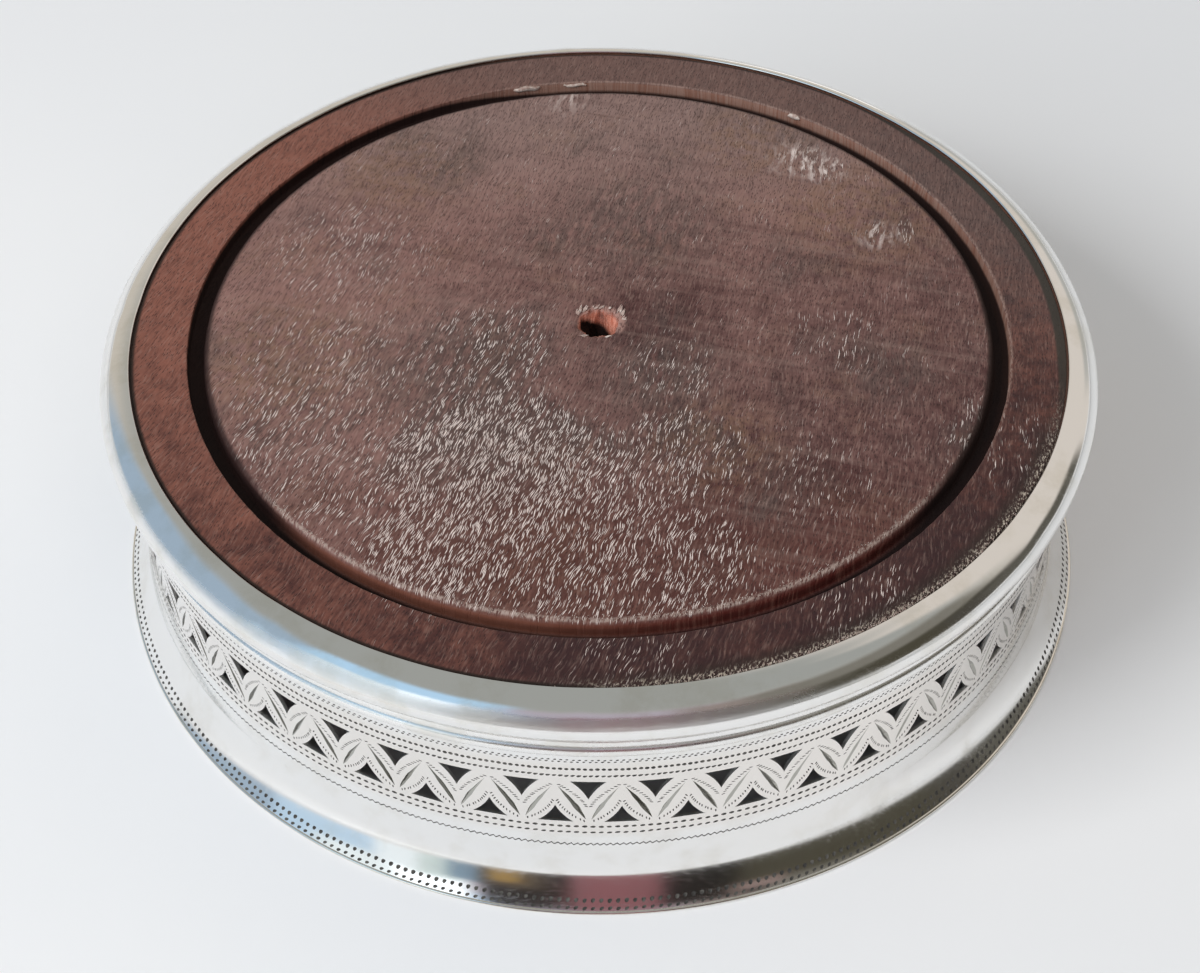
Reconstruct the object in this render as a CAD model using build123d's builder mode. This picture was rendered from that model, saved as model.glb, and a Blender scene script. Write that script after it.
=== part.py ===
from build123d import *
import os
from math import pi

# Wine bottle coaster: a pierced silver gallery wall around a turned wooden base.
# It is modelled inverted, as photographed: the flared rim stands on Z = 0 and the underside
# of the wooden base faces +Z. Turned over about X, the well inside the wall takes a bottle.
# Lengths are millimetres, angles are degrees, and the axis of every turned piece is Z.

# Overall sizes
overall_height = 36.2       # rim plane to the crest of the turned-over lip
foot_radius = 61.0          # outside of the gallery wall under the base moulding
sheet = 0.45                # gauge of the silver sheet
fit_gap = 0.1               # clearance between the wood and the silver around it

# Gallery wall
waist_depth = 0.35          # how far the wall draws in between its foot and its flare
flare_height = 6.5          # height above the rim plane where the wall bends outwards
bend_height = 2.5           # height of the bend above the wider flare
bend_flare = 0.74           # how far the bend carries the wall out
rim_flare = 3.2             # how far the rim stands out beyond the foot
rim_wire_height = 0.55
rim_wire_width = 1.3
rim_wire_bulge = 0.12       # rounding of the wire beyond the rim

# Pierced band of concave-sided triangles between slanting leaves
leaf_pitch = 7.6            # length of one pair of leaves around the waist
band_drop = 14.9            # crest of the lip down to the band's upper edge
band_height = 7.8
pierce_width = 4.1          # flat edge of a triangle
upper_pierce_height = 3.45
lower_pierce_height = 3.05
pierce_bow = 0.25           # how far a triangle's sides bend in
pattern_turn = -1.3         # turn of the first lower triangle from +X
cut_margin = 2.0            # overrun of the saw cuts on each side of the wall

# Base moulding, a hollow dome turned over the wood, with an arris above its lower edge
moulding_height = 5.65
moulding_rise = 2.9         # arris up to the crest
moulding_standout = 2.0     # arris beyond the foot of the wall
dome_bulge = 0.62           # rounding of the dome between its lip and its arris
moulding_foot = 1.1         # lower edge beyond the foot of the wall
lip_cover = 2.0             # reach of the lip inside the foot radius
channel_floor = 0.45        # metal under the channel that holds the wood

# Two reed wires under the moulding
reed_names = ("reed_wire_upper", "reed_wire_lower")
reed_height = 1.7
reed_standout = 0.95
reed_land = 0.3             # flat edge where a wire meets its neighbour

# Wooden base
wood_thickness = 8.9
wood_recess = 0.35          # wood's face below the crest of the lip
lip_gap = 0.25              # open joint between the wood's face and the lip
groove_inset = 6.9          # edge of the wood's face to the turned groove
groove_width = 2.0
groove_depth = 2.0
groove_round = 1.0          # worn inner arris of the groove
groove_root = 0.4
chuck_hole_radius = 2.2
chuck_hole_depth = 4.6
ring_inset = 9.0            # edge of the well floor to the first turned ring
ring_spacing = 3.2
ring_cut = 0.7              # radius of each turned ring

# Silver boss in the middle of the well floor
boss_radius = 14.0
boss_edge = 0.7
boss_dome = 0.8
boss_seat_depth = 0.5
pin_radius = 1.0
pin_length = 3.0
pin_point = 0.4

# Levels above the rim plane
moulding_low = overall_height - moulding_height
wall_top = moulding_low + channel_floor
foot_end = moulding_low - len(reed_names) * reed_height
bend_end = flare_height - bend_height
arris_z = overall_height - moulding_rise
face_z = overall_height - wood_recess
well_z = face_z - wood_thickness
seat_z = well_z + boss_seat_depth
band_top = overall_height - band_drop
band_bottom = band_top - band_height

# Radii
waist_radius = foot_radius - waist_depth
bend_radius = foot_radius + bend_flare
rim_radius = foot_radius + rim_flare
lip_radius = foot_radius - lip_cover
moulding_radius = foot_radius + moulding_standout
moulding_foot_radius = foot_radius + moulding_foot
channel_foot_radius = moulding_foot_radius - sheet
face_radius = lip_radius - lip_gap
groove_radius = face_radius - groove_inset - groove_width / 2
wood_radius = foot_radius - sheet - fit_gap

# Sawn triangles, one upper and one lower for each pair of leaves
leaf_count = round(2 * pi * waist_radius / leaf_pitch)
half_pitch = 180 / leaf_count
cut_start = waist_radius - sheet - cut_margin
cut_length = rim_radius + cut_margin - cut_start
saw_plane = Plane(origin=(cut_start, 0, 0), x_dir=(0, 1, 0), z_dir=(1, 0, 0))


def sawn_triangle(edge_z, apex_z):
    """One cut through the wall at +X, from its flat edge to its apex, with sides bent inwards."""
    corner = Vector(pierce_width / 2, edge_z)
    apex = Vector(0, apex_z)
    inward = (Vector(0, edge_z) - (corner + apex) / 2).normalized()
    bend = (corner + apex) / 2 + inward * pierce_bow
    with BuildPart() as cut:
        with BuildSketch(saw_plane):
            with BuildLine():
                ThreePointArc(corner, bend, apex)
                ThreePointArc(apex, (-bend.X, bend.Y), (-corner.X, corner.Y))
                Line((-corner.X, corner.Y), corner)
            make_face()
        extrude(amount=cut_length)
    return cut.part


upper_triangle = sawn_triangle(band_top, band_top - upper_pierce_height)
lower_triangle = sawn_triangle(band_bottom, band_bottom + lower_pierce_height)

# Gallery wall: straight foot, drawn-in waist and flared rim, with the pierced band
with BuildPart() as gallery_wall:
    with BuildSketch(Plane.XZ):
        with BuildLine():
            for inset in (0, sheet):
                foot = Line((foot_radius - inset, wall_top), (foot_radius - inset, foot_end))
                waist = ThreePointArc(
                    foot @ 1,
                    (waist_radius - inset, (foot_end + flare_height) / 2),
                    (foot_radius - inset, flare_height),
                )
                bend = TangentArc(waist @ 1, (bend_radius - inset, bend_end), tangent=waist % 1)
                TangentArc(bend @ 1, (rim_radius - inset, rim_wire_height), tangent=bend % 1)
            Line((foot_radius, wall_top), (foot_radius - sheet, wall_top))
            Line((rim_radius, rim_wire_height), (rim_radius - sheet, rim_wire_height))
        make_face()
    revolve(axis=Axis.Z)
    with PolarLocations(0, leaf_count, start_angle=pattern_turn):
        add(lower_triangle, mode=Mode.SUBTRACT)
    with PolarLocations(0, leaf_count, start_angle=pattern_turn + half_pitch):
        add(upper_triangle, mode=Mode.SUBTRACT)

# Rim wire under the edge of the flare, flat where the inverted coaster stands
with BuildPart() as rim_wire:
    with BuildSketch(Plane.XZ):
        with BuildLine():
            Polyline(
                (rim_radius, rim_wire_height),
                (rim_radius - rim_wire_width, rim_wire_height),
                (rim_radius - rim_wire_width, 0),
                (rim_radius, 0),
            )
            ThreePointArc(
                (rim_radius, 0),
                (rim_radius + rim_wire_bulge, rim_wire_height / 2),
                (rim_radius, rim_wire_height),
            )
        make_face()
    revolve(axis=Axis.Z)


def moulding_outline(inset, low_z):
    """The dome from its lip to its arris and the edge below it, drawn in by an inset."""
    lip = Vector(lip_radius, overall_height - inset)
    arris = Vector(moulding_radius - inset, arris_z)
    outward = Vector(lip.Y - arris.Y, arris.X - lip.X).normalized()
    dome = ThreePointArc(lip, (lip + arris) / 2 + outward * dome_bulge, arris)
    edge = TangentArc(arris, (moulding_foot_radius - inset, low_z), tangent=(0, -1))
    return [dome, edge]


# Base moulding: shell whose lip turns in over the wood, with a channel for the wood's flange
with BuildPart() as base_moulding:
    with BuildSketch(Plane.XZ):
        with BuildLine():
            add(moulding_outline(0, moulding_low))
            add(moulding_outline(sheet, wall_top))
            Polyline(
                (moulding_foot_radius, moulding_low),
                (foot_radius, moulding_low),
                (foot_radius, wall_top),
                (channel_foot_radius, wall_top),
            )
            Line((lip_radius, overall_height - sheet), (lip_radius, overall_height))
        make_face()
    revolve(axis=Axis.Z)

# Reed wires, stacked around the foot of the wall
reed_wires = {}
for index, reed_name in enumerate(reed_names):
    reed_top = moulding_low - index * reed_height
    with BuildPart() as reed_wire:
        with BuildSketch(Plane.XZ):
            with BuildLine():
                Polyline(
                    (foot_radius + reed_land, reed_top),
                    (foot_radius, reed_top),
                    (foot_radius, reed_top - reed_height),
                    (foot_radius + reed_land, reed_top - reed_height),
                )
                ThreePointArc(
                    (foot_radius + reed_land, reed_top - reed_height),
                    (foot_radius + reed_standout, reed_top - reed_height / 2),
                    (foot_radius + reed_land, reed_top),
                )
            make_face()
        revolve(axis=Axis.Z)
    reed_wires[reed_name] = reed_wire

# Wooden base: a disc inside the wall with a flange that the moulding's channel holds
flange_inset = sheet + fit_gap
flange_top = overall_height - flange_inset
with BuildPart() as wood_base:
    with BuildSketch(Plane.XZ):
        with BuildLine():
            Polyline(
                (0, face_z),
                (0, well_z),
                (wood_radius, well_z),
                (wood_radius, wall_top),
                (moulding_foot_radius - flange_inset, wall_top),
            )
            add(moulding_outline(flange_inset, wall_top))
            Polyline(
                (lip_radius, flange_top), (face_radius, flange_top), (face_radius, face_z), (0, face_z)
            )
        make_face()
    revolve(axis=Axis.Z)
    # Turned groove around the underside, with a worn inner arris
    with BuildSketch(Plane.XZ):
        with Locations((groove_radius, face_z)):
            Rectangle(groove_width, 2 * groove_depth)
    revolve(axis=Axis.Z, mode=Mode.SUBTRACT)
    groove_edges = wood_base.edges(Select.LAST).filter_by(GeomType.CIRCLE)
    fillet(groove_edges.group_by(Axis.Z)[0], groove_root)
    inner_arris = wood_base.edges().filter_by(GeomType.CIRCLE).group_by(Axis.Z)[-1].sort_by(SortBy.RADIUS)[0]
    fillet(inner_arris, groove_round)
    # Hole left by the lathe's screw chuck
    with Locations((0, 0, face_z)):
        Hole(chuck_hole_radius, chuck_hole_depth)
    # Turned rings on the well floor
    with BuildSketch(Plane.XZ):
        with Locations((wood_radius - ring_inset, well_z), (wood_radius - ring_inset - ring_spacing, well_z)):
            Circle(ring_cut)
    revolve(axis=Axis.Z, mode=Mode.SUBTRACT)
    # Seat and pin hole for the boss
    with Locations(Plane((0, 0, well_z), z_dir=(0, 0, -1))):
        CounterBoreHole(pin_radius, boss_radius + fit_gap, boss_seat_depth, boss_seat_depth + pin_length)

# Domed silver boss, flat against its seat
with BuildPart() as centre_boss:
    with BuildSketch(Plane.XZ):
        with BuildLine():
            Polyline(
                (0, seat_z - boss_edge - boss_dome),
                (0, seat_z),
                (boss_radius, seat_z),
                (boss_radius, seat_z - boss_edge),
            )
            TangentArc(
                (0, seat_z - boss_edge - boss_dome), (boss_radius, seat_z - boss_edge), tangent=(1, 0)
            )
        make_face()
    revolve(axis=Axis.Z)

# Pin soldered to the back of the boss and driven into the wood
with BuildPart() as boss_pin:
    with BuildSketch(Plane.XY.offset(seat_z)):
        Circle(pin_radius)
    extrude(amount=pin_length)
    chamfer(boss_pin.edges().filter_by(GeomType.CIRCLE).sort_by(Axis.Z)[-1], pin_point)

pieces = {
    "gallery_wall": gallery_wall,
    "rim_wire": rim_wire,
    "base_moulding": base_moulding,
    **reed_wires,
    "wood_base": wood_base,
    "centre_boss": centre_boss,
    "boss_pin": boss_pin,
}
os.makedirs("parts", exist_ok=True)
for piece_name, piece in pieces.items():
    piece.part.label = piece_name
    export_step(piece.part, f"parts/{piece_name}.step")
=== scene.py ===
import math
import random

import bpy
from mathutils import Matrix, Vector, noise
from mathutils.geometry import delaunay_2d_cdt


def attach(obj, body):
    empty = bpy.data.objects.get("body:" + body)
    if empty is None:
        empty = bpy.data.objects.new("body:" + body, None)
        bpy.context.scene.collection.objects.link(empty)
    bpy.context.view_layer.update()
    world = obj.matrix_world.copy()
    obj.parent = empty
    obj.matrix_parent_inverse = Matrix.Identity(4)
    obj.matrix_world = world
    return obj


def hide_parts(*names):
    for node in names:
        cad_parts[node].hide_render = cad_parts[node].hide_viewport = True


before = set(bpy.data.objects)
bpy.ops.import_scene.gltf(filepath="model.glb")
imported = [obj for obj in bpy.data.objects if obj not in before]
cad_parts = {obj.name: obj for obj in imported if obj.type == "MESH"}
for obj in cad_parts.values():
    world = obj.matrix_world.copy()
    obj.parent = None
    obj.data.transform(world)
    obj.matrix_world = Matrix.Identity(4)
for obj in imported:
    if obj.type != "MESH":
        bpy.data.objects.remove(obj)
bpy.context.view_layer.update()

# Looks of a pierced silver wine bottle coaster that stands inverted on its rim.
# Lengths are millimetres until a mesh is made; the scene itself is in metres.
MM = 0.001
TURN = 2 * math.pi

# Sizes shared with the CAD part
OVERALL_HEIGHT = 36.2
FOOT_RADIUS = 61.0
SHEET = 0.45
FIT_GAP = 0.1
WAIST_DEPTH = 0.35
FLARE_HEIGHT = 6.5
BEND_HEIGHT = 2.5
BEND_FLARE = 0.74
RIM_FLARE = 3.2
RIM_WIRE_HEIGHT = 0.55
RIM_WIRE_WIDTH = 1.3
LEAF_COUNT = 50
BAND_TOP = 21.3
BAND_BOTTOM = 13.5
PIERCE_HALF_WIDTH = 2.05
UPPER_PIERCE_HEIGHT = 3.45
LOWER_PIERCE_HEIGHT = 3.05
PIERCE_BOW = 0.25
PATTERN_TURN = math.radians(-1.3)
MOULDING_LOW = 30.55
WALL_TOP = 31.0
ARRIS_Z = 33.3
MOULDING_RADIUS = 63.0
MOULDING_FOOT_RADIUS = 62.1
COVE_BULGE = 0.3
DOME_BULGE = 0.62
LIP_RADIUS = 59.0
REED_HEIGHT = 1.7
REED_STANDOUT = 0.95
REED_LAND = 0.3
FACE_Z = 35.85
FACE_RADIUS = 58.75
WELL_Z = 26.95
WOOD_RADIUS = FOOT_RADIUS - SHEET - FIT_GAP
GROOVE_OUTER = 51.85
GROOVE_INNER = 49.85
GROOVE_DEPTH = 2.0
GROOVE_ROUND = 1.0
GROOVE_ROOT = 0.4
HOLE_DEPTH = 4.6
RING_INSETS = (12.2, 9.0)
RING_CUT = 0.7
RING_FULLNESS = 0.98
BOSS_SEAT_RADIUS = 14.1
BOSS_SEAT_DEPTH = 0.5
PIN_RADIUS = 1.0
PIN_LENGTH = 3.0

FOOT_END = MOULDING_LOW - 2 * REED_HEIGHT
WAIST_RADIUS = FOOT_RADIUS - WAIST_DEPTH
RIM_RADIUS = FOOT_RADIUS + RIM_FLARE


# Node graphs

class Graph:
    """Adds nodes to one node tree and links them; every value may be a number, a colour or a socket."""

    def __init__(self, tree):
        self.tree = tree

    def put(self, socket, value):
        if isinstance(value, bpy.types.NodeSocket):
            self.tree.links.new(value, socket)
        else:
            socket.default_value = (*value, 1) if socket.type == "RGBA" else value

    def fill(self, node, inputs):
        for key, value in inputs.items():
            self.put(node.inputs[key], value)

    def node(self, kind, inputs, **settings):
        made = self.tree.nodes.new(kind)
        for key, value in settings.items():
            setattr(made, key, value)
        self.fill(made, inputs)
        return made

    def math(self, operation, first, second=0.0):
        return self.node("ShaderNodeMath", {0: first, 1: second}, operation=operation).outputs[0]

    def add(self, first, second):
        return self.math("ADD", first, second)

    def less(self, first, second):
        return self.math("SUBTRACT", first, second)

    def most(self, first, second):
        return self.math("MAXIMUM", first, second)

    def product(self, *values):
        made = values[0]
        for value in values[1:]:
            made = self.math("MULTIPLY", made, value)
        return made

    def length(self, x, y):
        return self.math("SQRT", self.add(self.product(x, x), self.product(y, y)))

    def ramp(self, value, low, high, start=0.0, end=1.0):
        """A value eased from start at low to end at high."""
        inputs = {"Value": value, "From Min": low, "From Max": high, "To Min": start, "To Max": end}
        return self.node("ShaderNodeMapRange", inputs, interpolation_type="SMOOTHSTEP").outputs["Result"]

    def between(self, value, low, full, last, high):
        """One from full to last, eased to nothing at low and at high."""
        return self.product(self.ramp(value, low, full), self.ramp(value, high, last))

    def mix(self, share, first, second):
        return self.node("ShaderNodeMix", {0: share, 6: first, 7: second}, data_type="RGBA").outputs[2]

    def scaled(self, vector, scale, turn=0.0, shift=(0, 0, 0)):
        inputs = {"Vector": vector, "Location": shift, "Rotation": (0, 0, turn), "Scale": scale}
        return self.node("ShaderNodeMapping", inputs).outputs[0]

    def noise(self, vector, scale=1.0, detail=2.0, roughness=0.5):
        inputs = {"Vector": vector, "Scale": scale, "Detail": detail, "Roughness": roughness}
        return self.node("ShaderNodeTexNoise", inputs).outputs[0]

    def streaks(self, vector, across, along, detail, roughness):
        """Noise that is drawn out along the grain."""
        return self.noise(self.scaled(vector, (across, along, 1)), 1.0, detail, roughness)

    def cells(self, vector):
        """Distance to the nearest of scattered points, and a random value of that point."""
        made = self.node("ShaderNodeTexVoronoi", {"Vector": vector, "Scale": 1.0}, voronoi_dimensions="2D")
        chance = self.node("ShaderNodeSeparateColor", {0: made.outputs["Color"]}).outputs[0]
        return made.outputs["Distance"], chance

    def parts(self, vector):
        return self.node("ShaderNodeSeparateXYZ", {0: vector}).outputs

    def joined(self, x, y, z):
        return self.node("ShaderNodeCombineXYZ", {0: x, 1: y, 2: z}).outputs[0]

    def bump(self, height, distance):
        inputs = {"Height": height, "Distance": distance, "Strength": 1.0}
        return self.node("ShaderNodeBump", inputs).outputs[0]

    def near(self, x, y, patch):
        """Strength of a round patch (x, y, full radius, outer radius and, where given, weight) at a point."""
        patch_x, patch_y, full, outer, *weight = patch
        away = self.length(self.less(x, patch_x), self.less(y, patch_y))
        return self.product(self.ramp(away, outer, full), *weight)


def new_material(name):
    """A material with its graph, its surface node and its coordinates in millimetres."""
    material = bpy.data.materials.new(name)
    material.use_nodes = True
    graph = Graph(material.node_tree)
    surface = material.node_tree.nodes["Principled BSDF"]
    place = graph.node("ShaderNodeTexCoord", {}).outputs["Object"]
    return material, graph, surface, graph.scaled(place, (1 / MM, 1 / MM, 1 / MM))


def polar(graph, place):
    """Radius, angle and height of a point about the axis of the coaster."""
    x, y, z = graph.parts(place)
    return graph.length(x, y), graph.math("ARCTAN2", y, x), z


BRIGHT_SILVER = (0.94, 0.93, 0.91)
SOFT_SILVER = (0.86, 0.84, 0.79)
WARM_SILVER = (0.9, 0.855, 0.805)


def silver_material(name, bright, dull, smooth, rough, hairline, band=None, scuffed=None):
    """Polished silver with faint turned hairlines, wiped scratches and patches of dull tarnish.

    A band from a low to a high level, where given, is left warmer, as polishing misses it there, and
    a scuffed band is rougher, except at the right.
    """
    material, graph, surface, place = new_material(name)
    ramp, product = graph.ramp, graph.product
    radius, angle, height = polar(graph, place)
    streak = graph.joined(product(radius, 3.2), product(angle, 5.0), product(height, 3.2))
    turned = graph.noise(streak, 1.0, 3.0, 0.6)
    wiped = graph.noise(graph.scaled(place, (0.5, 5.0, 2.2), 0.7), 1.0, 2.0, 0.6)
    tarnish = ramp(graph.noise(place, 0.16, 4.0, 0.6), 0.46, 0.72)
    colour = graph.mix(tarnish, bright, dull)
    if band:
        low, high = band
        missed = graph.between(height, low - 1, low + 1, high - 1, high + 1)
        colour = graph.mix(product(missed, 0.8), colour, WARM_SILVER)
    wear = graph.add(product(tarnish, 0.5), product(ramp(wiped, 0.45, 0.75), 0.5))
    finish = ramp(wear, 0, 1, smooth, rough)
    if scuffed:
        low, high = scuffed
        inside = graph.between(height, low - 0.2, low, high - 0.7, high)
        finish = graph.add(finish, product(inside, ramp(graph.parts(place)[0], 36, 14), 0.24))
    relief = graph.add(turned, product(wiped, 0.6))
    graph.fill(surface, {
        "Base Color": colour, "Roughness": finish, "Metallic": 1.0,
        "Normal": graph.bump(relief, hairline * MM),
    })
    return material


def mottled_material(name, dark, pale, scale, detail, high, roughness, metallic):
    """A dull surface of two tones."""
    material, graph, surface, place = new_material(name)
    share = graph.ramp(graph.noise(place, scale, detail), 0.35, high)
    graph.fill(surface, {
        "Base Color": graph.mix(share, dark, pale), "Roughness": graph.ramp(share, 0, 1, *roughness),
        "Metallic": metallic,
    })
    return material


silver = silver_material(
    "polished_silver", BRIGHT_SILVER, SOFT_SILVER, 0.09, 0.2, 0.0007, scuffed=(33.2, 35.0)
)
reed_silver = silver_material("reed_silver", BRIGHT_SILVER, SOFT_SILVER, 0.26, 0.36, 0.0007)
rim_silver = silver_material("rim_silver", (0.9, 0.86, 0.79), (0.78, 0.73, 0.64), 0.16, 0.26, 0.0006)
sheet_silver = silver_material(
    "sheet_silver", (0.95, 0.94, 0.92), (0.88, 0.86, 0.82), 0.11, 0.22, 0.0006, band=(11.0, 25.0)
)
# The two facets of each bright cut: a lit copy and a painted shade copy of a darker silver
cut_silver = silver_material("bright_cut_silver", (0.46, 0.45, 0.41), (0.26, 0.25, 0.21), 0.16, 0.3, 0.001)
cut_shade = silver_material("bright_cut_shade", (0.17, 0.165, 0.145), (0.08, 0.075, 0.06), 0.2, 0.35, 0.001)
sawn_silver = silver_material("sawn_silver", (0.92, 0.91, 0.88), (0.6, 0.58, 0.54), 0.45, 0.6, 0.004)
engraved = mottled_material(
    "engraved_oxide", (0.05, 0.047, 0.043), (0.12, 0.113, 0.1), 1.3, 2.0, 0.7, (0.65, 0.5), 0.3
)
pale_wood = mottled_material(
    "pale_fibre", (0.36, 0.25, 0.215), (0.6, 0.51, 0.46), 1.8, 3.0, 0.68, (0.85, 0.7), 0.0
)


# Meshes

SEGMENTS = 512
ARRIS_ANGLE = 40


def link(name, data):
    """A new object in the scene."""
    made = bpy.data.objects.new(name, data)
    bpy.context.scene.collection.objects.link(made)
    return made


def make_object(name, points, faces, materials, face_slots=None, sharp=None, normals=None):
    """A mesh object from points in millimetres that rides on the coaster's one body."""
    mesh = bpy.data.meshes.new(name)
    mesh.from_pydata([(x * MM, y * MM, z * MM) for x, y, z in points], [], faces)
    for material in materials:
        mesh.materials.append(material)
    if face_slots:
        mesh.polygons.foreach_set("material_index", face_slots)
    mesh.polygons.foreach_set("use_smooth", [True] * len(mesh.polygons))
    if sharp:
        mesh.set_sharp_from_angle(angle=math.radians(sharp))
    if normals:
        mesh.normals_split_custom_set(normals)
    made = link(name, mesh)
    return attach(made, "root")


def bow(start, end, sagitta, steps):
    """Points of an arc after its start, bulging to the right of the way from start to end."""
    chord = Vector((end[0] - start[0], end[1] - start[1]))
    half = chord.length / 2
    radius = (half * half + sagitta * sagitta) / (2 * abs(sagitta))
    sweep = 2 * math.atan2(abs(sagitta), half)
    side = Vector((chord.y, -chord.x)).normalized() * math.copysign(1, sagitta)
    middle = Vector((start[0] + end[0], start[1] + end[1])) / 2
    centre = middle - side * (radius - abs(sagitta))
    along = chord.normalized()
    found = []
    for step in range(1, steps + 1):
        angle = sweep * (2 * step / steps - 1)
        spot = centre + along * (radius * math.sin(angle)) + side * (radius * math.cos(angle))
        found.append((spot.x, spot.y))
    return found


def profile(*moves):
    """An outline of (radius, height). A move with a bulge and a number of steps makes an arc."""
    found = []
    for radius, height, *arc in moves:
        found += bow(found[-1], (radius, height), *arc) if arc else [(radius, height)]
    return found


def lathe(name, outline, material, shift, sharp=ARRIS_ANGLE, closed=True):
    """A turned piece. The outline runs counter-clockwise about its section."""
    points = []
    rings = []
    for radius, height in outline:
        if radius < 1e-6:
            rings.append([len(points)] * SEGMENTS)
            points.append((0.0, 0.0, height))
            continue
        ring = []
        for step in range(SEGMENTS):
            angle = TURN * step / SEGMENTS
            away, up = shift(angle, radius, height)
            ring.append(len(points))
            reach = radius + away
            points.append((reach * math.cos(angle), reach * math.sin(angle), height + up))
        rings.append(ring)
    faces = []
    pairs = list(zip(rings, rings[1:])) + ([(rings[-1], rings[0])] if closed else [])
    for low, high in pairs:
        for step in range(SEGMENTS):
            after = (step + 1) % SEGMENTS
            corners = (low[step], low[after], high[after], high[step])
            faces.append(tuple(dict.fromkeys(corners)))
    return make_object(name, points, faces, [material], sharp=sharp)


def unevenness(seed, size, depth):
    """Slow hand-worked unevenness of a turned piece."""
    def shift(angle, radius, height):
        x, y = radius * math.cos(angle), radius * math.sin(angle)
        swell = noise.noise(Vector((x / size, y / size, height / size + seed)))
        lift = noise.noise(Vector((x / size + seed, y / size, height / size)))
        return depth * swell, 0.5 * depth * lift
    return shift


# Base moulding with a rounded lip and a softened arris
EDGE_ROUND = 0.1
SOFT_ARRIS = 0.12
SOFT_BULGE = 0.03
lip_edge = LIP_RADIUS + EDGE_ROUND
outer_dome = bow((MOULDING_RADIUS, ARRIS_Z), (lip_edge, OVERALL_HEIGHT), DOME_BULGE, 28)
moulding_outline = profile(
    (FOOT_RADIUS, MOULDING_LOW),
    (MOULDING_FOOT_RADIUS - EDGE_ROUND, MOULDING_LOW),
    (MOULDING_FOOT_RADIUS, MOULDING_LOW + EDGE_ROUND, SOFT_BULGE, 3),
    (MOULDING_RADIUS, ARRIS_Z - SOFT_ARRIS, 0.38, 14),
    (*outer_dome[0], SOFT_BULGE, 3),
    *outer_dome[1:],
    (lip_edge, OVERALL_HEIGHT - SHEET, 0.14, 7),
    (MOULDING_RADIUS - SHEET, ARRIS_Z, -DOME_BULGE, 20),
    (MOULDING_FOOT_RADIUS - SHEET, WALL_TOP, -COVE_BULGE, 10),
    (FOOT_RADIUS, WALL_TOP),
)

# Small knocks in the moulding: angle in degrees, height, width and depth
KNOCKS = (
    (-118.0, 34.9, 2.6, 0.05),
    (-127.0, 34.4, 1.7, 0.06),
    (-136.0, 35.2, 3.4, 0.05),
    (-92.0, 34.3, 1.3, 0.05),
    (-71.0, 34.6, 2.2, 0.04),
    (-33.0, 34.8, 3.0, 0.05),
    (41.0, 35.0, 2.4, 0.05),
    (133.0, 34.6, 2.8, 0.05),
    (176.0, 34.9, 2.0, 0.05),
)


def moulding_shift(angle, radius, height):
    """Unevenness and knocks of the moulding."""
    away, up = unevenness(3.1, 9.0, 0.05)(angle, radius, height)
    for degrees, level, width, depth in KNOCKS:
        turn = (angle - math.radians(degrees) + math.pi) % TURN - math.pi
        gap = math.hypot(turn * radius, height - level)
        if gap < 3 * width:
            dent = depth * math.exp(-((gap / width) ** 2))
            away -= dent
            up -= 0.6 * dent
    return away, up


moulding = lathe("moulding_shell", moulding_outline, silver, moulding_shift)
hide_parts("base_moulding")

# Reed wires
for index, node in enumerate(("reed_wire_upper", "reed_wire_lower")):
    top = MOULDING_LOW - index * REED_HEIGHT
    low = top - REED_HEIGHT
    edge = FOOT_RADIUS + REED_LAND
    outline = profile(
        (FOOT_RADIUS, low), (edge, low), (edge, top, REED_STANDOUT - REED_LAND, 16), (FOOT_RADIUS, top)
    )
    reed = lathe(f"reed_{index + 1}", outline, reed_silver, unevenness(11.0 + index, 6.0, 0.03))
    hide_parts(node)

# Flare and rim sit a little off centre, towards the front right
RIM_SWING = 0.35
RIM_SWING_AT = math.radians(-40)


def rim_swing(angle, height):
    """How far the flare is off at a height, and how much that adds to its slope."""
    share = max(0.0, FLARE_HEIGHT - height) / FLARE_HEIGHT
    reach = RIM_SWING * math.cos(angle - RIM_SWING_AT)
    return reach * share**3, 3 * reach * share**2 / FLARE_HEIGHT


def rim_shift(angle, radius, height):
    """The rim wire moves with the lowest edge of the flare."""
    return rim_swing(angle, RIM_WIRE_HEIGHT)[0], 0.0


# Rim wire, swollen towards its middle
RIM_SWELL = 0.32
RIM_SWELL_Z = 0.28
RIM_FOOT_INSET = 0.15
rim_inside = RIM_RADIUS - RIM_WIRE_WIDTH
rim_outline = profile(
    (rim_inside, 0.0),
    (RIM_RADIUS - RIM_FOOT_INSET, 0.0),
    (RIM_RADIUS + RIM_SWELL, RIM_SWELL_Z, 0.08, 6),
    (RIM_RADIUS, RIM_WIRE_HEIGHT, 0.06, 6),
    (rim_inside, RIM_WIRE_HEIGHT),
)
rim = lathe("rim_edge", rim_outline, rim_silver, rim_shift)
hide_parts("rim_wire")


# Gallery wall: section of the sheet

waist_middle = (FOOT_END + FLARE_HEIGHT) / 2
waist_bend = ((FOOT_END - waist_middle) ** 2 + WAIST_DEPTH**2) / (2 * WAIST_DEPTH)
waist_lean = math.asin((waist_middle - FLARE_HEIGHT) / waist_bend)


def leaning_arc(start, end, lean):
    """Centre, radius and last lean of an arc that leaves start at a lean from the vertical."""
    chord = math.atan2(end[0] - start[0], start[1] - end[1])
    last = 2 * chord - lean
    radius = (start[1] - end[1]) / (math.sin(last) - math.sin(lean))
    centre = (start[0] + radius * math.cos(lean), start[1] + radius * math.sin(lean))
    return centre, radius, last


bend_point = (FOOT_RADIUS + BEND_FLARE, FLARE_HEIGHT - BEND_HEIGHT)
bend_arc = leaning_arc((FOOT_RADIUS, FLARE_HEIGHT), bend_point, waist_lean)
flare_arc = leaning_arc(bend_point, (RIM_RADIUS, RIM_WIRE_HEIGHT), bend_arc[2])


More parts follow.
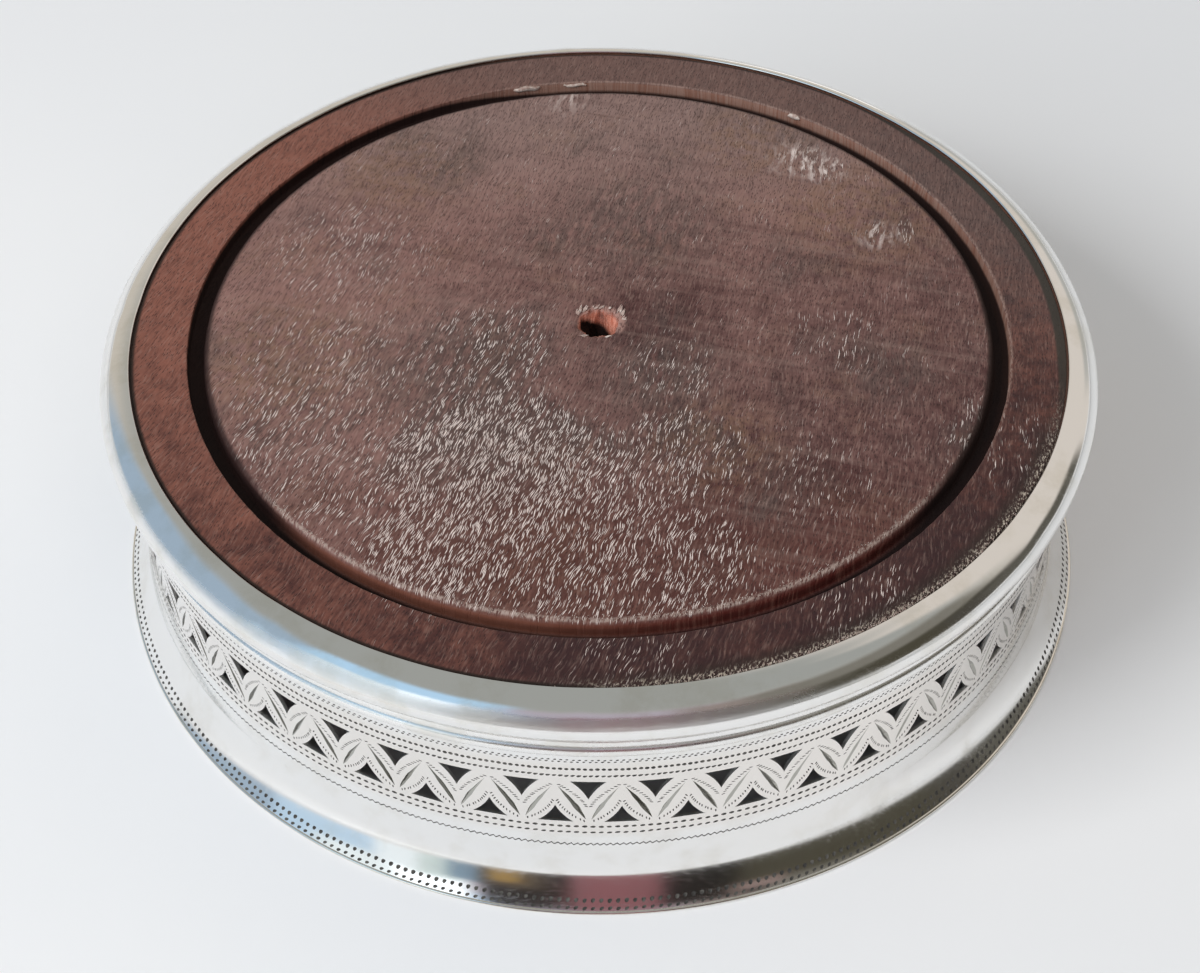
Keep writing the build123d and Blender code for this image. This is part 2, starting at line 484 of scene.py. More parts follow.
def wall_at(height):
    """Outer radius of the wall at a height, and how far its face leans upwards there."""
    if height >= FOOT_END:
        return FOOT_RADIUS, 0.0
    if height >= FLARE_HEIGHT:
        drop = waist_middle - height
        inward = math.sqrt(waist_bend**2 - drop**2)
        return WAIST_RADIUS + waist_bend - inward, math.asin(drop / waist_bend)
    centre, radius, _ = bend_arc if height >= bend_point[1] else flare_arc
    drop = centre[1] - height
    across = math.copysign(math.sqrt(radius**2 - drop**2), radius)
    return centre[0] - across, math.asin(drop / radius)


# Gallery wall: one cell of the pattern holds a lower triangle and the leaf on each side of it

CELL = TURN * WAIST_RADIUS / LEAF_COUNT
HALF = CELL / 2
LEAF_TIP = BAND_TOP - 0.3
LEAF_FOOT = BAND_BOTTOM - 0.15
COLUMNS = 8
GRID_HEIGHTS = (
    RIM_WIRE_HEIGHT, 1.15, 2.1, 2.6, 3.0, 3.4, 3.7, 4.0, 4.4, 4.8, 5.2, 5.6, 6.0, 6.5, 7.2, 8.0, 8.6,
    10.0, 10.8, 12.02, 13.08, 21.75, 23.04, 24.6, 26.4, FOOT_END, 28.6, WALL_TOP,
)
WAVE_Z = 9.25
WAVE_COUNT = 10
WAVE_SWING = 0.17
WAVE_HALF = 0.1
WAVE_DEPTH = 0.09

# Rows of struck marks: height, marks in a cell, step along, half length, half height, slant in degrees,
# taper, depth. The first two rows stand staggered and make up one wriggled line.
MARK_ROWS = (
    (25.56, 11, 0.15, 0.2, 0.12, 14, 0.3, 0.08),
    (25.2, 11, -0.15, 0.2, 0.13, 14, -0.3, 0.08),
    (23.75, 11, 0.0, 0.27, 0.26, 0, 0.1, 0.13),
    (22.42, 11, 0.0, 0.31, 0.19, 24, -0.45, 0.11),
    (12.59, 8, 0.0, 0.34, 0.22, 6, 0.15, 0.12),
    (11.49, 8, 0.0, 0.34, 0.18, 12, 0.1, 0.1),
    (1.51, 8, 0.0, 0.28, 0.21, 28, -0.3, 0.11),
    (0.8, 8, 0.0, 0.28, 0.15, 20, -0.2, 0.08),
)
MARK_SIDES = 8
TICK_COUNT = 17
TICK_HALF_LENGTH = 0.24
TICK_SLANT = 52
TICK_DEPTH = 0.1
CUT_STEPS = 10
CUT_HALF_WIDTH = 0.31
CUT_DEPTH = 0.24
CELL_SEED = 700

PLAIN, PIERCED, MARK, FACET_SHADED, FACET_LIT = range(5)


class Drawing:
    """Flat drawing of one cell: points with a depth, and closed outlines of a kind."""

    def __init__(self):
        self.points = []
        self.depths = []
        self.edges = []
        self.outlines = []
        self.kinds = []

    def point(self, x, z, depth=0.0):
        self.points.append(Vector((x, z)))
        self.depths.append(depth)
        return len(self.points) - 1

    def row(self, spots):
        """Points of a row of spots."""
        return [self.point(*spot) for spot in spots]

    def loop(self, made, kind):
        """A closed outline, drawn counter-clockwise."""
        area = sum(
            self.points[a].x * self.points[b].y - self.points[b].x * self.points[a].y
            for a, b in zip(made, made[1:] + made[:1])
        )
        self.outlines.append(made if area > 0 else made[::-1])
        self.kinds.append(kind)

    def triangles(self):
        """Points with depths, and corners with a kind, of the drawing cut into triangles."""
        spots, _, faces, sources, _, inside = delaunay_2d_cdt(
            self.points, self.edges, self.outlines, 1, 1e-6, True
        )
        depths = [max((self.depths[i] for i in source), default=0.0) for source in sources]
        kinds = [max((self.kinds[i] for i in owner), default=PLAIN) for owner in inside]
        return [(spot.x, spot.y, depth) for spot, depth in zip(spots, depths)], faces, kinds


def side_of_triangle(corner, apex, foot_of_height):
    """Points along a bowed side of a pierced triangle, both ends included."""
    middle = ((corner[0] + apex[0]) / 2, (corner[1] + apex[1]) / 2)
    inward = Vector((foot_of_height[0] - middle[0], foot_of_height[1] - middle[1])).normalized()
    steps = 7
    found = []
    for step in range(steps + 1):
        share = step / steps
        lift = 4 * PIERCE_BOW * share * (1 - share)
        x = corner[0] + (apex[0] - corner[0]) * share + inward.x * lift
        z = corner[1] + (apex[1] - corner[1]) * share + inward.y * lift
        found.append((x, z))
    return found


def pierced_outlines():
    """The lower triangle, and the halves of the upper ones at the right and left edge of a cell."""
    apex = (0.0, BAND_BOTTOM + LOWER_PIERCE_HEIGHT)
    right = side_of_triangle((PIERCE_HALF_WIDTH, BAND_BOTTOM), apex, (0.0, BAND_BOTTOM))
    left = [(-x, z) for x, z in right]
    lower = left[:-1] + right[::-1]
    apex = (HALF, BAND_TOP - UPPER_PIERCE_HEIGHT)
    corner = (HALF - PIERCE_HALF_WIDTH, BAND_TOP)
    right_half = [(HALF, BAND_TOP)] + side_of_triangle(corner, apex, (HALF, BAND_TOP))
    left_half = [(-x, z) for x, z in right_half][::-1]
    return lower[::-1], right_half, left_half


HOLES = pierced_outlines()
INNER_HEIGHTS = sorted({*GRID_HEIGHTS, BAND_TOP, BAND_TOP - UPPER_PIERCE_HEIGHT})
OUTER_HEIGHTS = sorted({*INNER_HEIGHTS, WAVE_Z - WAVE_HALF, WAVE_Z, WAVE_Z + WAVE_HALF})
COLUMN_XS = [HALF * (2 * i / COLUMNS - 1) for i in range(COLUMNS + 1)]


def blank_cell(heights):
    """A cell with its edges, which hold every point that its neighbours share, its holes and a grid."""
    drawing = Drawing()
    bottom = [(x, heights[0]) for x in COLUMN_XS[:-1]]
    right = [(HALF, z) for z in heights[:-1]]
    top = [(x, heights[-1]) for x in COLUMN_XS[:0:-1]]
    left = [(-HALF, z) for z in heights[:0:-1]]
    drawing.loop(drawing.row(bottom + right + top + left), PLAIN)
    for hole in HOLES:
        drawing.loop(drawing.row(hole), PIERCED)
    drawing.row((x, z) for z in GRID_HEIGHTS[1:-1] for x in COLUMN_XS[1:-1])
    return drawing


def strike(drawing, x, z, half_length, half_height, slant, taper, depth, pinch=0.0):
    """One struck mark: a slanted drop with its deepest point off its middle, or pinched in the middle."""
    turn = math.radians(slant)
    spots = []
    for side in range(MARK_SIDES):
        angle = TURN * side / MARK_SIDES
        along = half_length * math.cos(angle)
        waist = 1 - pinch * math.sin(angle) ** 2
        across = half_height * math.sin(angle) * waist * (1 + taper * math.cos(angle))
        spots.append((
            x + along * math.cos(turn) - across * math.sin(turn),
            z + along * math.sin(turn) + across * math.cos(turn),
        ))
    drawing.loop(drawing.row(spots), MARK)
    lean = 0.3 * half_length * math.copysign(1, taper)
    drawing.point(x + lean * math.cos(turn), z + lean * math.sin(turn), depth)


def leaf_spot(side, share, offset):
    """A point of a leaf at a share of its length and an offset from its axis towards the upper triangle."""
    tip = Vector((0.0, LEAF_TIP))
    foot = Vector((HALF, LEAF_FOOT))
    along = (foot - tip).normalized()
    across = Vector((-along.y, along.x))
    spot = tip + (foot - tip) * share + across * offset
    return side * spot.x, spot.y


def leaf_edge(share, way):
    """Offset of a leaf's engraved edge from its axis, on its upper (1) or lower (-1) side."""
    fullness = 0.93 + 0.55 * share if way > 0 else 1.42
    return way * fullness * 4 * share * (1 - share)


def draw_leaf(drawing, side, chance):
    """Ticked edges and the central bright cut of one leaf; side is 1 for the right leaf, -1 for the left."""
    for way in (1, -1):
        for index in range(TICK_COUNT):
            share = 0.045 + 0.93 * (index + 0.4 * chance.random()) / TICK_COUNT
            x, z = leaf_spot(side, share, leaf_edge(share, way))
            ahead_x, ahead_z = leaf_spot(side, share + 0.01, leaf_edge(share + 0.01, way))
            run = math.degrees(math.atan2(ahead_z - z, ahead_x - x))
            slant = run + TICK_SLANT * way * side + chance.uniform(-9, 9)
            reach = TICK_HALF_LENGTH * abs(math.cos(math.radians(slant))) + 0.05
            if reach < side * x < HALF - reach:
                thick = chance.uniform(0.1, 0.13)
                strike(drawing, x, z, TICK_HALF_LENGTH, thick, slant, 0.1 * way, TICK_DEPTH, pinch=0.3)
    # The cut: two facets that meet along its bottom, widest towards the foot of the leaf
    phase = chance.uniform(0, TURN)
    first_share, last_share = 0.085, 0.92
    upper_edge, lower_edge, keel = [], [], []
    for step in range(1, CUT_STEPS):
        along = step / CUT_STEPS
        share = first_share + (last_share - first_share) * along
        swell = math.sin(math.pi * along**1.3) ** 0.85
        if side < 0:
            swell *= 0.55 + 0.45 * along
        scallop = 1 + 0.12 * math.sin(TURN * 2.6 * along + phase) + chance.uniform(-0.06, 0.06)
        middle = 0.12 * math.sin(math.pi * along)
        reach = CUT_HALF_WIDTH * swell
        upper_edge.append(leaf_spot(side, share, middle + reach * scallop))
        lower_edge.append(leaf_spot(side, share, middle - reach * scallop))
        keel.append((*leaf_spot(side, share, middle - side * 0.3 * reach), CUT_DEPTH * swell))
    first, last = drawing.row((leaf_spot(side, first_share, 0), leaf_spot(side, last_share, 0)))
    upper, lower, bottom = drawing.row(upper_edge), drawing.row(lower_edge), drawing.row(keel)
    # One facet of each cut takes the lit copy and the other the painted shade copy, mirrored between the
    # leaves
    kinds = (FACET_LIT, FACET_SHADED) if side > 0 else (FACET_SHADED, FACET_LIT)
    for edge, kind in ((upper, kinds[0]), (lower, kinds[1])):
        drawing.loop([first] + edge + [last] + bottom[::-1], kind)


def draw_wave(drawing):
    """The wriggled line above the flare, a shallow ribbon that runs on into the next cell."""
    steps = 6 * WAVE_COUNT
    top, low, keel = [], [], []
    for step in range(steps + 1):
        x = -HALF + CELL * step / steps
        phase = TURN * WAVE_COUNT * step / steps
        z = WAVE_Z + WAVE_SWING * math.sin(phase - 0.5 * math.sin(phase))
        top.append((x, z + WAVE_HALF))
        low.append((x, z - WAVE_HALF))
        keel.append((x, z, WAVE_DEPTH))
    drawing.loop(drawing.row(low + top[::-1]), MARK)
    middle = drawing.row(keel)
    drawing.edges.extend(zip(middle, middle[1:]))


def draw_cell(chance):
    """The outside of one cell of the wall."""
    drawing = blank_cell(OUTER_HEIGHTS)
    for z, count, advance, half_length, half_height, slant, taper, depth in MARK_ROWS:
        for index in range(count):
            x = -HALF + CELL * (index + 0.5 + advance) / count + chance.uniform(-0.02, 0.02)
            level = z + chance.uniform(-0.03, 0.03)
            size = chance.uniform(0.9, 1.04)
            tilt = slant + chance.uniform(-6, 6)
            strike(drawing, x, level, half_length * size, half_height * size, tilt, taper, depth)
    for side in (1, -1):
        draw_leaf(drawing, side, chance)
    draw_wave(drawing)
    return drawing.triangles()


# Materials of the wall's faces, by their place in its list
PLAIN_SLOT, SAWN_SLOT = 0, 4
SLOTS = {PLAIN: PLAIN_SLOT, MARK: 1, FACET_LIT: 2, FACET_SHADED: 3}


class Sheet:
    """Gathers the points and faces of the whole wall, sharing points between cells."""

    def __init__(self):
        self.points = []
        self.faces = []
        self.slots = []
        self.normals = []
        self.known = {}

    def spot(self, cell, x, z, depth, inner):
        """Index of a point of the wall, and the direction that its face looks there."""
        column = None
        if abs(abs(x) - HALF) < 1e-5:
            column = (cell + (1 if x > 0 else 0)) % LEAF_COUNT
        key = (column if column is not None else ("cell", cell, round(x, 5)), round(z, 5), inner)
        angle = PATTERN_TURN + TURN * (cell + x / CELL) / LEAF_COUNT
        radius, lean = wall_at(z)
        swing, slope = rim_swing(angle, z)
        radius += swing
        lean = math.atan(math.tan(lean) + slope)
        way = Vector((math.cos(lean) * math.cos(angle), math.cos(lean) * math.sin(angle), math.sin(lean)))
        if key not in self.known:
            reach = radius - (SHEET if inner else 0.0) - depth * math.cos(lean)
            self.known[key] = len(self.points)
            self.points.append((
                reach * math.cos(angle), reach * math.sin(angle), z - depth * math.sin(lean)
            ))
        return self.known[key], (-way if inner else way)

    def face(self, corners, slot, ways=None):
        """A face, with the directions given at its corners or else its own flat direction."""
        self.faces.append(corners)
        self.slots.append(slot)
        if ways is None:
            spots = [Vector(self.points[i]) for i in corners]
            flat = (spots[1] - spots[0]).cross(spots[2] - spots[0])
            ways = [flat.normalized()] * len(corners)
        self.normals.extend(ways)

    def edge(self, cell, row, slot, downward=False):
        """The edge of the sheet along a row of spots."""
        for ends in zip(row, row[1:]):
            outer = [self.spot(cell, *spot, 0.0, False)[0] for spot in ends]
            inner = [self.spot(cell, *spot, 0.0, True)[0] for spot in ends]
            corners = (outer[0], outer[1], inner[1], inner[0])
            self.face(corners[::-1] if downward else corners, slot)


sheet = Sheet()
inner_spots, inner_faces, inner_kinds = blank_cell(INNER_HEIGHTS).triangles()
for cell in range(LEAF_COUNT):
    spots, faces, kinds = draw_cell(random.Random(CELL_SEED + cell))
    placed = [sheet.spot(cell, *spot, False) for spot in spots]
    for corners, kind in zip(faces, kinds):
        if kind != PIERCED:
            ways = [placed[i][1] for i in corners] if kind == PLAIN else None
            sheet.face(tuple(placed[i][0] for i in corners), SLOTS[kind], ways)
    placed = [sheet.spot(cell, *spot, True) for spot in inner_spots]
    for corners, kind in zip(inner_faces, inner_kinds):
        if kind != PIERCED:
            turned = [placed[i] for i in corners[::-1]]
            sheet.face(tuple(index for index, _ in turned), PLAIN_SLOT, [way for _, way in turned])
    sheet.edge(cell, [(x, WALL_TOP) for x in COLUMN_XS], PLAIN_SLOT)
    sheet.edge(cell, [(x, RIM_WIRE_HEIGHT) for x in COLUMN_XS], PLAIN_SLOT, downward=True)
    lower_hole, right_half, left_half = HOLES
    for row in (lower_hole + lower_hole[:1], right_half, left_half):
        sheet.edge(cell, row, SAWN_SLOT)

wall = make_object(
    "engraved_gallery", sheet.points, sheet.faces,
    [sheet_silver, engraved, cut_silver, cut_shade, sawn_silver],
    face_slots=sheet.slots, normals=sheet.normals,
)
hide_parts("gallery_wall")


# Wood

# Places on the wood, in millimetres. Lighter and darker areas: x, y, full and outer radius, change of tone
TONE_PATCHES = (
    (-36, -2, 8, 24, 0.42), (-25, -28, 6, 18, 0.42), (28, 27, 4, 18, 0.4), (-12, 44, 8, 26, 0.3),
    (7, 1, 3, 13, -0.55), (22, -34, 5, 15, -0.45), (-8, -34, 12, 24, 0.3), (6, 34, 6, 18, 0.25),
    (20, -41, 4, 12, -0.5),
)
# Grey weathered patches: x, y, full and outer radius
GREY_PATCHES = (
    (-18, -8, 5, 17), (-15, -24, 3, 14), (5, 20, 4, 17), (7, -10, 3, 12), (19, -32, 1.5, 3.5),
    (36, -9, 2, 10),
)
# Beds of chalky pores: x, y, full and outer radius, density
PORE_BEDS = (
    (-4, -35, 10, 24, 1.0), (-13, -26, 8, 18, 1.6), (9, -41, 5, 13, 0.9), (-33, -7, 6, 20, 0.52),
    (9, -24, 4, 14, 0.8), (31, -3, 3, 12, 0.42), (-14, -6, 4, 16, 0.7), (30, 33, 2, 8, 0.5),
    (39, 18, 1, 7, 0.45), (-33, 14, 5, 19, 0.5), (9, -9, 3, 12, 0.5), (-18, -39, 5, 14, 1.4),
    (30, -47, 3, 12, 0.9), (49, -22, 3, 13, 0.8), (4, -54, 3, 14, 0.8), (26, -28, 4, 14, 0.4),
    (-35, -18, 6, 16, 0.62), (-31, -28, 4, 12, 0.75), (20, -42, 3, 9, 0.3),
)
# Yellower places: x, y, full and outer radius
TAN_PATCHES = (
    (36, 22, 5, 16), (22, 38, 3, 12), (-39, -6, 5, 16), (-27, 31, 3, 14), (14, -22, 3, 12), (-6, -42, 4, 14),
)
# Darker, purple places on the outer ring: x, y, full and outer radius
PURPLE_PATCHES = ((4, -56, 8, 24), (36, -44, 8, 22), (-1, -56, 4, 13))
# Layers of flecks: cells in a millimetre across and along the grain, shift, half width, share of filled cells
FLECK_LAYERS = (
    ((3.9, 0.27), 0.0, 0.25, 0.7),
    ((4.8, 0.38), 17.3, 0.25, 0.8),
    ((6.0, 0.6), 41.9, 0.27, 0.75),
)
# Smears of chalk: x, y, full and outer radius
CHALK_SMEARS = ((27, 34, 1.5, 6), (31, 31, 1, 5), (37, 17, 1, 4), (-4, 47, 1, 5))
GRAIN_TURN = math.radians(16)
SAW_TURN = math.radians(15)


def wood_material():
    """Old red-brown wood: polished outer ring, bare inner disc with chalky pores, groove dark with dirt and
    painted shade, torn hole, and painted sheen and shade.
    """
    material, graph, surface, place = new_material("worn_wood")
    mix, ramp, between, product = graph.mix, graph.ramp, graph.between, graph.product
    add, less, most, streaks = graph.add, graph.less, graph.most, graph.streaks
    x, y, _ = graph.parts(place)
    radius, _, height = polar(graph, place)
    wander = graph.noise(place, 0.2)
    sway = product(less(wander, 0.5), 1.4)
    fanned = add(add(x, sway), product(x, y, 0.0022))
    grain = graph.scaled(graph.joined(fanned, y, 0.0), (1, 1, 1), GRAIN_TURN)
    depth = less(FACE_Z, height)
    inner = ramp(radius, 50.4, 49.6)

    # Overall tone: lighter to the left and back, darker to the right and front, a painted sheen, with random
    # mottling on top
    across = add(product(x, -0.0065), product(y, 0.0095))
    mottle = graph.noise(place, 0.55, 5.0, 0.7)
    tone = add(across, product(less(wander, 0.5), 0.9))
    tone = add(tone, product(less(mottle, 0.5), 1.6))
    ring_colour = mix(ramp(tone, -0.95, 0.75), (0.036, 0.0115, 0.013), (0.25, 0.094, 0.066))
    # Painted sheen: the outer ring turns greyer towards the back
    back = ramp(add(y, product(x, 0.5)), 12, 52)
    ring_colour = mix(product(back, 0.7), ring_colour, (0.112, 0.08, 0.075))
    for patch in PURPLE_PATCHES:
        ring_colour = mix(product(graph.near(x, y, patch), 0.55), ring_colour, (0.032, 0.013, 0.0155))
    for patch in TONE_PATCHES:
        tone = add(tone, graph.near(x, y, patch))
    disc_colour = mix(ramp(tone, -1.0, 0.85), (0.075, 0.03, 0.029), (0.274, 0.149, 0.13))
    # Painted sheen: the disc turns greyer towards the back
    disc_colour = mix(product(ramp(y, 15, 45), 0.5), disc_colour, (0.235, 0.175, 0.16))
    yellow = ramp(graph.noise(place, 0.11, 3.0), 0.5, 0.68, 0.0, 0.5)
    for patch in TAN_PATCHES:
        yellow = most(yellow, graph.near(x, y, patch))
    yellow = product(yellow, ramp(mottle, 0.38, 0.6), 0.6)
    disc_colour = mix(yellow, disc_colour, (0.205, 0.115, 0.07))
    red = product(ramp(y, -20, -42, 0.0, 0.7), ramp(x, -34, -12, 0.35, 1.0))
    disc_colour = mix(red, disc_colour, (0.118, 0.042, 0.033))

    # Greyed patches where the surface is weathered
    blotch = graph.noise(graph.scaled(place, (0.075, 0.06, 0.06)), 1.0, 3.0, 0.55)
    grey = product(ramp(blotch, 0.47, 0.68, 0.0, 0.8), ramp(y, -40, -18, 0.3, 1.0))
    for patch in GREY_PATCHES:
        grey = most(grey, product(graph.near(x, y, patch), 0.85))
    grey = product(grey, inner, ramp(streaks(grain, 0.9, 0.3, 3.0, 0.65), 0.3, 0.6), 0.8)
    disc_colour = mix(grey, disc_colour, (0.088, 0.062, 0.056))
    colour = mix(inner, ring_colour, disc_colour)

    def coat(tint, *shares):
        """Lays a tint over the wood, as strongly as the product of the shares."""
        nonlocal colour
        colour = mix(product(*shares), colour, tint)

    # Grain lines, dark pores and faint saw marks
    lines = streaks(grain, 2.3, 0.14, 4.0, 0.65)
    coat((0.03, 0.012, 0.011), ramp(lines, 0.5, 0.78, 0.0, 0.5))
    coat((0.3, 0.16, 0.125), ramp(lines, 0.5, 0.22, 0.0, 0.28))
    threads = streaks(grain, 4.2, 0.42, 3.0, 0.6)
    coat((0.04, 0.016, 0.015), ramp(threads, 0.5, 0.74, 0.0, 0.6))
    pale_threads = product(ramp(threads, 0.5, 0.27), ramp(radius, 49.2, 50.4, 0.42, 0.28))
    coat((0.36, 0.24, 0.2), pale_threads)
    speck, speck_chance = graph.cells(graph.scaled(grain, (3.4, 0.9, 1)))
    pores = product(ramp(speck, 0.3, 0.12), ramp(speck_chance, 0.4, 0.5))
    coat((0.02, 0.009, 0.009), pores, 0.55)
    saw = streaks(graph.scaled(place, (1, 1, 1), SAW_TURN), 0.025, 0.5, 4.0, 0.65)
    coat((0.3, 0.2, 0.17), ramp(saw, 0.5, 0.72), inner, 0.22)
    coat((0.06, 0.026, 0.023), ramp(saw, 0.46, 0.3), inner, 0.25)

    # Chalky pores: slender flecks along the grain, thickest towards the front and left
    thick = ramp(wander, 0.3, 0.7, 0.1, 0.3)
    for patch in PORE_BEDS:
        thick = most(thick, graph.near(x, y, patch))
    clump = ramp(graph.noise(place, 0.45, 3.0), 0.34, 0.6, 0.55, 1.0)
    rows = ramp(streaks(grain, 1.5, 0.05, 3.0, 0.6), 0.36, 0.58, 0.4, 1.2)
    ring_share = ramp(radius, 49.2, 50.4, 1.0, 0.55)
    thick = product(thick, clump, rows, ring_share)
    jitter = product(less(graph.noise(place, 0.35), 0.5), 0.3)
    along_x, along_y, _ = graph.parts(grain)
    bent = graph.joined(add(along_x, jitter), along_y, 0.0)
    bed_colour = mix(ramp(y, -18, -34), (0.062, 0.042, 0.038), (0.07, 0.024, 0.019))
    coat(bed_colour, ramp(thick, 0.25, 0.8), 0.56)
    flecks = 0.0
    for scale, shift, width, share in FLECK_LAYERS:
        away, chance = graph.cells(graph.scaled(bent, (*scale, 1), 0.0, (shift, shift, 0)))
        present = ramp(less(product(thick, share), chance), -0.02, 0.24)
        flecks = most(flecks, product(ramp(away, width, 0.35 * width), present))
    smears = ramp(streaks(grain, 1.1, 0.34, 3.0, 0.6), 0.47, 0.6)
    for patch in CHALK_SMEARS:
        flecks = most(flecks, product(graph.near(x, y, patch), smears, 0.75))
    flecks = product(flecks, ramp(depth, 0.5, 0.2))
    chalk = mix(ramp(thick, 0.1, 0.6), (0.36, 0.265, 0.24), (0.88, 0.76, 0.71))
    coat(chalk, flecks, 0.95)

    # Worn, whitish arris inside the groove at the front, and frayed edge of the wood at the front right
    front = ramp(y, -24, -35)
    frayed = streaks(grain, 3.5, 1.1, 3.0, 0.7)
    arris = product(between(radius, 48.75, 49.15, 49.3, 49.6), front, ramp(frayed, 0.4, 0.58))
    coat((0.42, 0.33, 0.29), arris, 0.75)
    # Painted shade: a dark band just inside the wood's edge at the front right, under the frayed fibres
    side = product(ramp(x, -10, 10), ramp(y, -8, -26))
    coat((0.024, 0.014, 0.012), ramp(radius, 56.0, 57.6), side, 0.7)
    fibres = ramp(streaks(grain, 5.0, 1.5, 3.0, 0.7), 0.5, 0.62)
    coat((0.58, 0.5, 0.41), ramp(radius, 57.3, 58.6), side, fibres, 0.85)
    # Painted shade in the gap between the wood and the silver lip, wider and greener at the right
    right = product(ramp(x, 34, 52), ramp(y, -22, -4))
    gap_shade = ramp(add(radius, product(right, 0.85)), 58.2, 58.6)
    gap_shade_colour = mix(right, (0.012, 0.008, 0.006), (0.032, 0.03, 0.024))
    coat(gap_shade_colour, gap_shade, less(1.0, side), 0.9)

    # Dirt and painted shade in the groove, painted light on its outer wall, and the redder rounded bead
    # towards the front
    inner_grime_and_shade = product(ramp(depth, 0.08, 0.6), ramp(radius, 50.9, 50.6))
    lit_side = product(ramp(x, -24, -6), ramp(y, -30, -8))
    outer_grime_and_shade = ramp(less(depth, product(lit_side, 1.1)), 0.15, 0.75)
    low = product(most(inner_grime_and_shade, outer_grime_and_shade), ramp(radius, 45, 48))
    # Painted light: the groove's outer wall is brown where light falls on it, towards the right and back
    painted_lit_wall = product(ramp(depth, 0.05, 0.25), ramp(radius, 50.9, 51.3), lit_side)
    coat((0.25, 0.115, 0.078), painted_lit_wall, 0.75)
    # The outer arris of the groove is pale where it is worn and lit, part wear and part painted highlight
    worn = product(between(radius, 51.7, 51.9, 52.0, 52.3), lit_side, ramp(frayed, 0.36, 0.6), 0.6)
    coat((0.34, 0.23, 0.19), worn)
    bead = product(ramp(y, -30, -41), ramp(radius, 50.5, 49.75))
    bead_colour = mix(ramp(x, -12, 14), (0.14, 0.052, 0.034), (0.075, 0.016, 0.013))
    worn_bead = product(ramp(frayed, 0.45, 0.7), ramp(x, -8, 14, 0.3, 0.7))
    bead_colour = mix(worn_bead, bead_colour, (0.19, 0.082, 0.062))
    # The groove goes nearly black with dirt and painted shade, except the bead at the front
    groove_colour = mix(bead, (0.008, 0.0035, 0.0035), bead_colour)
    coat(groove_colour, low, 0.95)
    shade = product(between(radius, 48.75, 49.4, 49.9, 50.4), less(1.0, front), 0.85)
    coat((0.016, 0.007, 0.006), shade)

    # Fresh torn wood in the centre hole
    torn = product(ramp(radius, 3.1, 2.6), ramp(depth, 0.05, 0.3))
    # Painted shade: the hole goes black towards its bottom, sooner on the left
    hole_shade = ramp(less(depth, product(x, 0.7)), 1.7, 2.7)
    torn_colour = mix(ramp(frayed, 0.35, 0.65), (0.4, 0.12, 0.075), (0.68, 0.3, 0.22))
    coat(mix(hole_shade, torn_colour, (0.012, 0.006, 0.005)), torn)
    flap = product(between(radius, 2.2, 2.6, 3.1, 3.7), ramp(depth, 0.9, 0.3), ramp(frayed, 0.36, 0.56))
    flap = product(flap, ramp(add(y, product(x, 0.8)), -0.4, 1.2), 0.85)
    coat((0.4, 0.235, 0.2), flap)

    polish = add(product(inner, 0.22), product(flecks, 0.2))
    dirty = product(low, less(1.0, bead), 0.4)
    polish = add(polish, less(dirty, product(low, bead, 0.3)))
    relief = less(product(flecks, 0.5), product(pores, 0.8))
    relief = add(relief, product(lines, -0.8))
    graph.fill(surface, {
        "Base Color": colour,
        "Roughness": add(add(0.36, polish), product(lines, 0.12)),
        "Specular IOR Level": 0.3,
        "Normal": graph.bump(relief, 0.03 * MM),
    })
    return material


TEAR_RADIUS = 4.5


def wood_shift(angle, radius, height):
    """Worn unevenness of the wood, frayed arrises and the torn edge of the hole."""
    x, y = radius * math.cos(angle), radius * math.sin(angle)
    up = 0.0
    away = 0.0
    if height > FACE_Z - 0.5 and radius < FACE_RADIUS + 0.01:
        up += 0.025 * noise.noise(Vector((x / 9, y / 9, 4.0)))
    if GROOVE_INNER - 1.2 < radius < GROOVE_OUTER + 0.6:
        away += 0.05 * noise.noise(Vector((x / 0.7, y / 2.5, height)))
        up += 0.04 * noise.noise(Vector((x / 0.5, y / 2.0, 9.0 + height)))
    if abs(radius - FACE_RADIUS) < 0.4 and height > FACE_Z - 0.3:
        frays = 0.09 if x > 0 and y < -15 else 0.03
        away += frays * noise.noise(Vector((x / 0.4, y / 1.2, 2.0)))
    if radius < TEAR_RADIUS and height > FACE_Z - HOLE_DEPTH + 0.1:
        ragged = noise.noise(Vector((x / 0.8, y / 1.4, height / 1.5)))
        fine = noise.noise(Vector((x / 0.3, y / 0.9, height)))
        share = max(0.0, min(1.0, (TEAR_RADIUS - radius) / 1.6))
        back = max(0.0, math.sin(angle))
        away += share * (0.5 * ragged + 0.14 * fine + 0.35 * back)
        if height > FACE_Z - 0.1:
            up += share * (0.1 * ragged - 0.06 * back)
    return away, up


# Rings of points on the flat face, and radius and depth of the points down the hole
OUTER_RINGS = (58.3, 57.5, 56.5, 55.5, 54.5, 53.5, 52.8, 52.2)
DISC_RINGS = [48.2 - 1.88 * step for step in range(24)]
HOLE_RINGS = (
    (4.3, 0.0), (3.8, 0.0), (3.3, 0.01), (2.95, 0.03), (2.7, 0.08), (2.5, 0.2), (2.4, 0.45), (2.32, 0.8),
    (2.24, 1.2), (2.12, 1.7), (2.0, 2.3), (1.85, 3.0), (1.6, 3.8), (1.2, 4.35), (0.0, HOLE_DEPTH),
)
WORN_ARRIS_DEPTH = 0.08
WORN_ARRIS_WIDTH = 0.1
GROOVE_ARRIS = 0.12
ROOT_BULGE = 0.11

